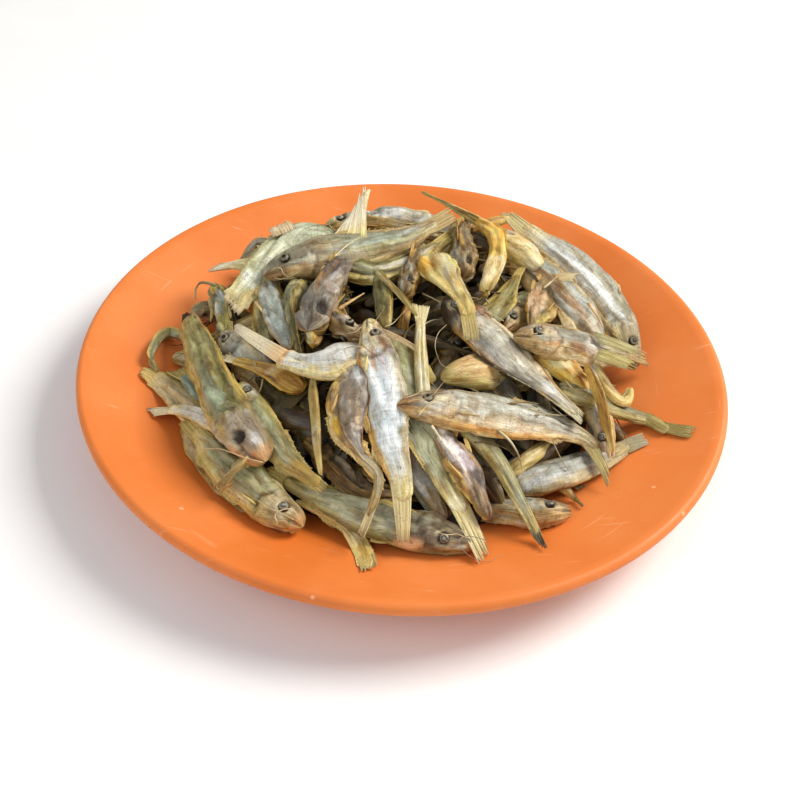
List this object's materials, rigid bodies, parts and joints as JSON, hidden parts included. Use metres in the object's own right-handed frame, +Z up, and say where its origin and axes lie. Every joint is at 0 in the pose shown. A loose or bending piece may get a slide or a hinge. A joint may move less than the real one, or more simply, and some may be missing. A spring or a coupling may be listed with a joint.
{
  "type": "dried tengra fish",
  "caption": "Loose heap of small dried catfish, with heads, flanks, tails and fins crossing each other, on a round shallow orange plate with a rolled rim.",
  "frame": {"origin": "middle of the plate's foot, on the surface that it stands on", "axes": "+Z up out of the plate, -Y towards the viewer of the picture, +X to the viewer's right"},
  "size_m": [0.2612, 0.2612, 0.0695],
  "materials": {
    "orange_plate": "worn satin",
    "dried_fish": "dry skin, matt to satin"
  },
  "bodies": {
    "root": {"plate": "orange_plate", "fish_heap": "dried_fish"}
  },
  "joints": []
}
